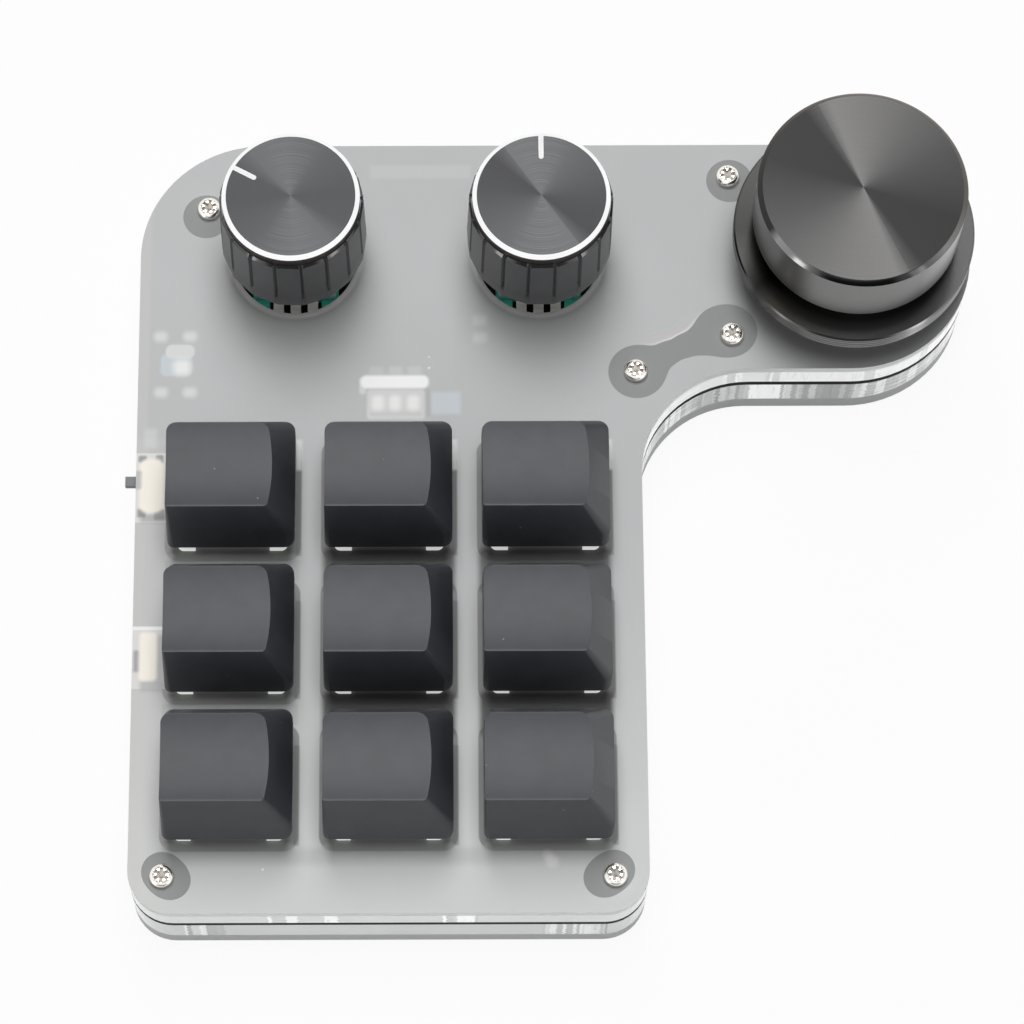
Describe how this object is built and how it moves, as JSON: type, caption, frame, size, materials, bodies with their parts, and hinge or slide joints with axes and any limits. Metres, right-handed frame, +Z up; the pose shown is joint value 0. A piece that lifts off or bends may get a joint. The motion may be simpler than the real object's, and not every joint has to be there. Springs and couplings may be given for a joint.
{
  "type": "macro keypad with knobs",
  "caption": "Desk keypad on a layered clear and frosted case, with blank square push keys, two fluted push knobs and one wide flanged push knob on a side arm.",
  "frame": {"origin": "on the floor under the middle of the keypad's bounding box", "axes": "+X to the right, +Y to the rear, where the knobs are, +Z up"},
  "size_m": [0.1229, 0.1164, 0.0402],
  "materials": {
    "frosted_sheet": "frosted, light grey",
    "frosted_base": "frosted, grey",
    "clear_plastic": "clear, cut edges",
    "board_black": "black solder mask",
    "nickel": "nickel-plated, bright",
    "feet_rubber": "matt",
    "keycap_plastic": "fine matt grain",
    "stem_plastic": "satin",
    "housing_white": "satin white",
    "housing_smoke": "smoky",
    "contact_metal": "plated",
    "socket_black": "matt",
    "encoder_teal": "satin",
    "steel": "plain",
    "tin": "tinned",
    "knob_black": "satin",
    "knob_metal": "spun, black, with a polished bevel",
    "anodised_black": "black anodised, turned",
    "cream_plastic": "satin",
    "slider_grey": "satin",
    "chip_black": "matt",
    "battery_silver": "foil"
  },
  "bodies": {
    "case": {"bottom_plate": "frosted_base", "lower_frame": "clear_plastic", "circuit_board": "board_black", "upper_frame": "clear_plastic", "top_sheet": "frosted_sheet", "case_screws": "nickel", "case_nuts": "nickel", "rubber_feet": "feet_rubber", "switch_lower_housings": "housing_white", "switch_upper_housings": "housing_smoke", "switch_contacts": "contact_metal", "switch_sockets": "socket_black", "encoder_bases": "encoder_teal", "encoder_covers": "steel", "encoder_terminals": "tin", "slide_switch_body": "cream_plastic", "slide_switch_shell": "steel", "side_button_body": "cream_plastic", "usb_shell": "steel", "usb_tongue": "chip_black", "controller_module": "chip_black", "battery": "battery_silver", "press_switch": "steel", "board_connector": "cream_plastic", "board_parts": "chip_black"},
    "key_r1c1": {"keycap_r1c1": "keycap_plastic", "stem_r1c1": "stem_plastic"},
    "key_r1c2": {"keycap_r1c2": "keycap_plastic", "stem_r1c2": "stem_plastic"},
    "key_r1c3": {"keycap_r1c3": "keycap_plastic", "stem_r1c3": "stem_plastic"},
    "key_r2c1": {"keycap_r2c1": "keycap_plastic", "stem_r2c1": "stem_plastic"},
    "key_r2c2": {"keycap_r2c2": "keycap_plastic", "stem_r2c2": "stem_plastic"},
    "key_r2c3": {"keycap_r2c3": "keycap_plastic", "stem_r2c3": "stem_plastic"},
    "key_r3c1": {"keycap_r3c1": "keycap_plastic", "stem_r3c1": "stem_plastic"},
    "key_r3c2": {"keycap_r3c2": "keycap_plastic", "stem_r3c2": "stem_plastic"},
    "key_r3c3": {"keycap_r3c3": "keycap_plastic", "stem_r3c3": "stem_plastic"},
    "turn_1": {"encoder_rotor_1": "socket_black"},
    "push_1": {"encoder_shaft_1": "steel", "knob_body_1": "knob_black", "knob_disc_1": "knob_metal"},
    "turn_2": {"encoder_rotor_2": "socket_black"},
    "push_2": {"encoder_shaft_2": "steel", "knob_body_2": "knob_black", "knob_disc_2": "knob_metal"},
    "turn_3": {"encoder_rotor_3": "socket_black"},
    "push_3": {"encoder_shaft_3": "steel", "large_knob": "anodised_black", "large_knob_set_screw": "steel"},
    "slider": {"slide_switch_slider": "slider_grey"},
    "plunger": {"side_button_plunger": "slider_grey"}
  },
  "joints": [
    {"name": "key_press_r1c1", "type": "slide", "parent": "case", "child": "key_r1c1", "axis": [0, 0, -1], "range_m": [0, 0.004], "stiffness_N_per_m": 90, "springref_m": -0.005},
    {"name": "key_press_r1c2", "type": "slide", "parent": "case", "child": "key_r1c2", "axis": [0, 0, -1], "range_m": [0, 0.004], "stiffness_N_per_m": 90, "springref_m": -0.005},
    {"name": "key_press_r1c3", "type": "slide", "parent": "case", "child": "key_r1c3", "axis": [0, 0, -1], "range_m": [0, 0.004], "stiffness_N_per_m": 90, "springref_m": -0.005},
    {"name": "key_press_r2c1", "type": "slide", "parent": "case", "child": "key_r2c1", "axis": [0, 0, -1], "range_m": [0, 0.004], "stiffness_N_per_m": 90, "springref_m": -0.005},
    {"name": "key_press_r2c2", "type": "slide", "parent": "case", "child": "key_r2c2", "axis": [0, 0, -1], "range_m": [0, 0.004], "stiffness_N_per_m": 90, "springref_m": -0.005},
    {"name": "key_press_r2c3", "type": "slide", "parent": "case", "child": "key_r2c3", "axis": [0, 0, -1], "range_m": [0, 0.004], "stiffness_N_per_m": 90, "springref_m": -0.005},
    {"name": "key_press_r3c1", "type": "slide", "parent": "case", "child": "key_r3c1", "axis": [0, 0, -1], "range_m": [0, 0.004], "stiffness_N_per_m": 90, "springref_m": -0.005},
    {"name": "key_press_r3c2", "type": "slide", "parent": "case", "child": "key_r3c2", "axis": [0, 0, -1], "range_m": [0, 0.004], "stiffness_N_per_m": 90, "springref_m": -0.005},
    {"name": "key_press_r3c3", "type": "slide", "parent": "case", "child": "key_r3c3", "axis": [0, 0, -1], "range_m": [0, 0.004], "stiffness_N_per_m": 90, "springref_m": -0.005},
    {"name": "knob_turn_1", "type": "hinge", "parent": "case", "child": "turn_1", "pos_m": [-0.0371, 0.0405, 0.0151], "axis": [0, 0, -1], "continuous": true},
    {"name": "knob_push_1", "type": "slide", "parent": "turn_1", "child": "push_1", "axis": [0, 0, -1], "range_m": [0, 0.0005], "stiffness_N_per_m": 1500, "springref_m": -0.0015},
    {"name": "knob_turn_2", "type": "hinge", "parent": "case", "child": "turn_2", "pos_m": [-0.0016, 0.0405, 0.0151], "axis": [0, 0, -1], "continuous": true},
    {"name": "knob_push_2", "type": "slide", "parent": "turn_2", "child": "push_2", "axis": [0, 0, -1], "range_m": [0, 0.0005], "stiffness_N_per_m": 1500, "springref_m": -0.0015},
    {"name": "knob_turn_3", "type": "hinge", "parent": "case", "child": "turn_3", "pos_m": [0.0437, 0.0405, 0.0151], "axis": [0, 0, -1], "continuous": true},
    {"name": "knob_push_3", "type": "slide", "parent": "turn_3", "child": "push_3", "axis": [0, 0, -1], "range_m": [0, 0.0005], "stiffness_N_per_m": 1500, "springref_m": -0.0015},
    {"name": "slide_switch", "type": "slide", "parent": "case", "child": "slider", "axis": [0, -1, 0], "range_m": [0, 0.002]},
    {"name": "side_button", "type": "slide", "parent": "case", "child": "plunger", "axis": [1, 0, 0], "range_m": [0, 0.0003], "stiffness_N_per_m": 300, "springref_m": -0.001}
  ]
}
